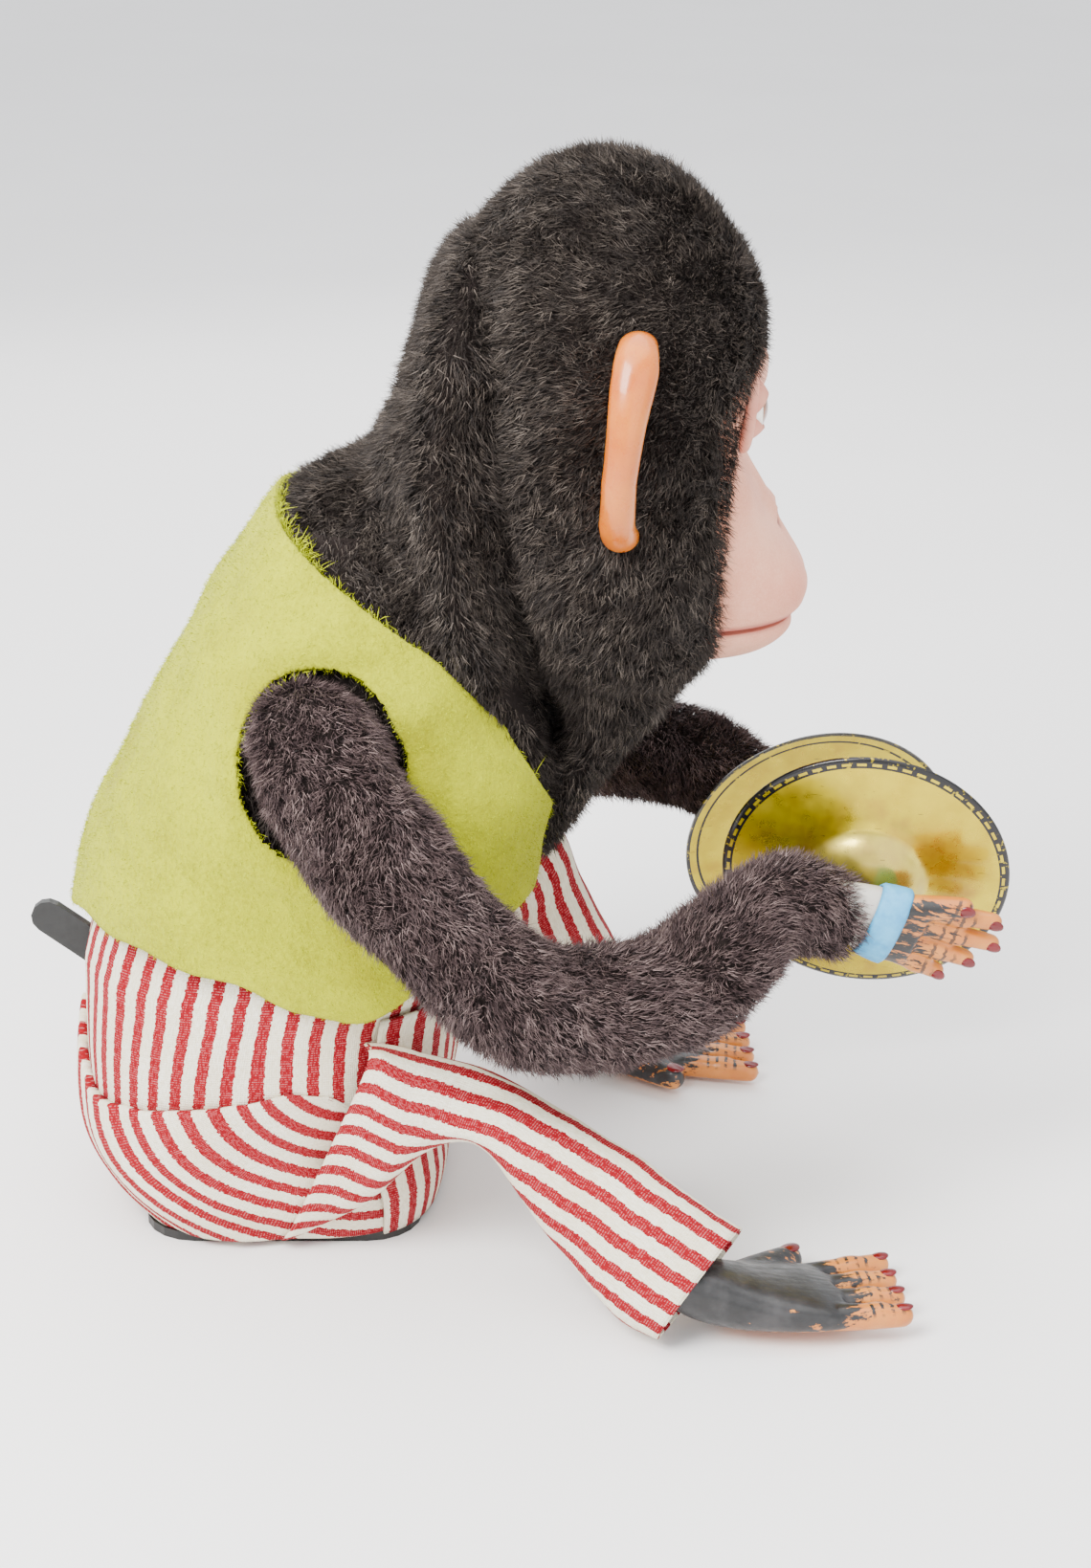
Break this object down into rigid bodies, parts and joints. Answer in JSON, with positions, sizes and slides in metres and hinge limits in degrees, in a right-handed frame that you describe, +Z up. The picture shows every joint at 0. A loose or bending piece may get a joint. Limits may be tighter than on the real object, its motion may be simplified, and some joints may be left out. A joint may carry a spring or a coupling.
{
  "type": "cymbal-playing monkey toy",
  "caption": "Seated plush toy monkey in a felt vest and striped trousers that claps two cymbals, nods, opens its jaw and pops its eyes when the head is pressed.",
  "frame": {"origin": "centre of the flat underside of the base, on the closed battery door", "axes": "+Z up, the figure faces -Y, its own right side is -X"},
  "size_m": [0.1712, 0.2366, 0.2585],
  "materials": {
    "black_tin": "satin black enamel",
    "tin": "bare tinplate",
    "cell_jacket": "printed jacket, no lettering",
    "brass": "bright",
    "motor_case": "satin",
    "nylon": "moulded nylon",
    "steel": "drawn wire",
    "black_plastic": "satin moulded",
    "skull_plastic": "moulded",
    "head_fur": "dense pile plush",
    "arm_fur": "dense pile plush",
    "face_flock": "flocked vinyl",
    "tooth": "gloss",
    "eyeball": "gloss",
    "ear_vinyl": "glossy vinyl",
    "vest_felt": "felt, cut edges",
    "striped_cloth": "woven red and off-white stripe",
    "cymbal_tin": "gold lacquer, worn",
    "painted_vinyl": "soft vinyl, black overspray",
    "blue_strap": "satin"
  },
  "bodies": {
    "root": {"base_plate": "black_tin", "battery_box": "tin", "battery_right": "cell_jacket", "battery_left": "cell_jacket", "contact_rear": "brass", "contact_front": "brass", "frame_right": "tin", "frame_left": "tin", "motor": "motor_case", "squawk_drum": "black_plastic", "shoulder_plate_lower": "tin", "shoulder_plate_upper": "tin", "neck_bracket": "tin", "torso_plush": "head_fur", "neck_plush": "head_fur", "vest": "vest_felt", "trousers": "striped_cloth", "trouser_leg_right": "striped_cloth", "trouser_leg_left": "striped_cloth", "leg_wire_right": "steel", "leg_wire_left": "steel", "foot_right": "painted_vinyl", "foot_left": "painted_vinyl", "switch_body": "black_plastic"},
    "right_arm": {"arm_pivot_right": "steel", "arm_wire_right": "steel", "arm_plush_right": "arm_fur", "cymbal_right": "cymbal_tin", "cymbal_rivet_right": "steel", "hand_right": "painted_vinyl", "wrist_strap_right": "blue_strap"},
    "left_arm": {"arm_pivot_left": "steel", "arm_wire_left": "steel", "arm_plush_left": "arm_fur", "cymbal_left": "cymbal_tin", "cymbal_rivet_left": "steel", "hand_left": "painted_vinyl", "wrist_strap_left": "blue_strap"},
    "yoke": {"clap_yoke": "steel"},
    "cam": {"cam_gear": "nylon", "clap_cam": "nylon", "cam_axle": "steel"},
    "idler": {"idler_gear": "nylon"},
    "pinion": {"pinion": "brass"},
    "neck": {"neck_post": "steel"},
    "head": {"head_plush": "head_fur", "skull_shell": "skull_plastic", "face_mask": "face_flock", "upper_teeth": "tooth", "ear_right": "ear_vinyl", "ear_left": "ear_vinyl", "head_socket": "skull_plastic", "head_spring": "steel"},
    "jaw": {"jaw": "face_flock"},
    "eyes": {"eye_carriage": "skull_plastic", "eye_right": "eyeball", "eye_left": "eyeball"},
    "switch": {"switch_lever": "black_plastic"},
    "door": {"battery_door": "black_tin"}
  },
  "joints": [
    {"name": "right_arm_swing", "type": "hinge", "parent": "root", "child": "right_arm", "pos_m": [-0.03, -0.004, 0.134], "axis": [0, 0, 1], "range_deg": [-17, 8]},
    {"name": "left_arm_swing", "type": "hinge", "parent": "root", "child": "left_arm", "pos_m": [0.03, -0.004, 0.134], "axis": [0, 0, 1], "range_deg": [-8, 17]},
    {"name": "yoke_slide", "type": "slide", "parent": "root", "child": "yoke", "axis": [0, 1, 0], "range_m": [-0.00387, 0.00183]},
    {"name": "cam_spin", "type": "hinge", "parent": "root", "child": "cam", "pos_m": [0, -0.01156, 0.08286], "axis": [1, 0, 0], "continuous": true},
    {"name": "idler_spin", "type": "hinge", "parent": "root", "child": "idler", "pos_m": [0, 0.00122, 0.06963], "axis": [1, 0, 0], "continuous": true},
    {"name": "pinion_spin", "type": "hinge", "parent": "root", "child": "pinion", "pos_m": [0, 0.014, 0.06], "axis": [1, 0, 0], "continuous": true},
    {"name": "head_nod", "type": "hinge", "parent": "root", "child": "neck", "pos_m": [0, -0.035, 0.15], "axis": [1, 0, 0], "range_deg": [-5, 5]},
    {"name": "head_press", "type": "slide", "parent": "neck", "child": "head", "axis": [0, 0, 1], "range_m": [-0.005, 0], "stiffness_N_per_m": 400, "springref_m": 0.006},
    {"name": "jaw_open", "type": "hinge", "parent": "head", "child": "jaw", "pos_m": [0, -0.092, 0.153], "axis": [1, 0, 0], "range_deg": [-0.01, 12.01]},
    {"name": "eyes_pop", "type": "slide", "parent": "head", "child": "eyes", "axis": [0, -1, 0], "range_m": [-0.00001, 0.00401]},
    {"name": "switch_tilt", "type": "hinge", "parent": "root", "child": "switch", "pos_m": [0, 0.028, 0.047], "axis": [1, 0, 0], "range_deg": [-14, 0]},
    {"name": "battery_door_swing", "type": "hinge", "parent": "root", "child": "door", "pos_m": [0, 0.0264, 0.0007], "axis": [1, 0, 0], "range_deg": [0, 90]}
  ],
  "couplings": [
    {"joint": "left_arm_swing", "follows": "right_arm_swing", "ratio": -1},
    {"joint": "yoke_slide", "follows": "right_arm_swing", "m_per_rad": 0.013},
    {"joint": "idler_spin", "follows": "cam_spin", "ratio": -3.6},
    {"joint": "pinion_spin", "follows": "cam_spin", "ratio": 10.8},
    {"joint": "jaw_open", "follows": "head_press", "rad_per_m": -41.888},
    {"joint": "eyes_pop", "follows": "head_press", "ratio": -0.8}
  ]
}
